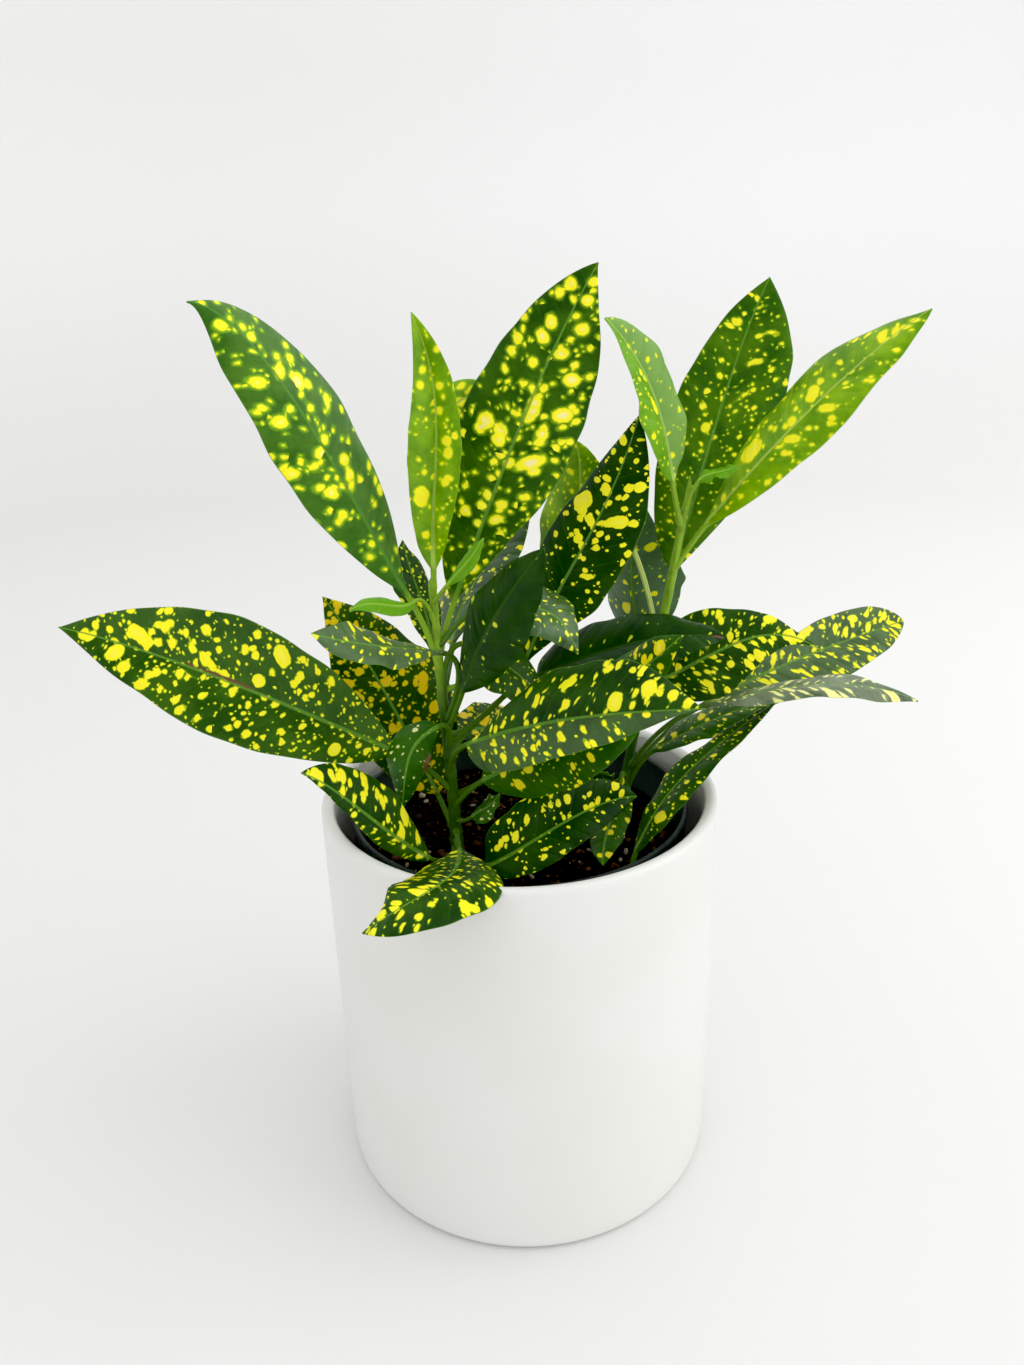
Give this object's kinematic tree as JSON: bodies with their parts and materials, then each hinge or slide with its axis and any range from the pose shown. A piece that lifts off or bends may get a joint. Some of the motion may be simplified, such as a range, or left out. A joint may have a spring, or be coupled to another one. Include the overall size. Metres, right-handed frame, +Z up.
{
  "type": "potted croton",
  "caption": "White glazed cylinder pot with a plastic growing pot of soil inside it and a croton with long, pointed, yellow-spotted leaves on upright stems.",
  "frame": {"origin": "middle of the pot's flat base, on the surface that it stands on", "axes": "+Z up along the pot's axis; -Y towards the side the picture is taken from; +X to the right in the picture"},
  "size_m": [0.2697, 0.1481, 0.2902],
  "materials": {
    "glaze": "gloss",
    "liner": "satin",
    "soil": "matte",
    "stem": "satin",
    "leaf_mature": "gloss",
    "leaf_young": "gloss",
    "leaf_new": "satin"
  },
  "bodies": {
    "root": {"glazed_pot": "glaze", "growing_pot": "liner", "soil": "soil", "stem_left": "stem", "stem_right": "stem", "leaf_left_01": "leaf_mature", "leaf_left_02": "leaf_young", "leaf_left_03": "leaf_mature", "leaf_left_04": "leaf_mature", "leaf_left_05": "leaf_mature", "leaf_left_06": "leaf_new", "leaf_left_07": "leaf_new", "leaf_left_08": "leaf_mature", "leaf_left_09": "leaf_mature", "leaf_left_10": "leaf_mature", "leaf_left_11": "leaf_mature", "leaf_left_12": "leaf_mature", "leaf_left_13": "leaf_mature", "leaf_left_14": "leaf_mature", "leaf_left_15": "leaf_mature", "leaf_left_16": "leaf_mature", "leaf_left_17": "leaf_mature", "leaf_left_18": "leaf_mature", "leaf_left_19": "leaf_mature", "leaf_left_20": "leaf_mature", "leaf_left_21": "leaf_mature", "leaf_left_22": "leaf_mature", "leaf_left_23": "leaf_young", "leaf_left_24": "leaf_mature", "leaf_left_25": "leaf_mature", "leaf_left_26": "leaf_mature", "leaf_right_01": "leaf_mature", "leaf_right_02": "leaf_young", "leaf_right_03": "leaf_young", "leaf_right_04": "leaf_new", "leaf_right_05": "leaf_mature", "leaf_right_06": "leaf_mature", "leaf_right_07": "leaf_mature", "leaf_right_08": "leaf_mature", "leaf_right_09": "leaf_mature", "leaf_right_10": "leaf_mature", "leaf_right_11": "leaf_mature", "leaf_right_12": "leaf_new", "leaf_right_13": "leaf_mature"}
  },
  "joints": []
}
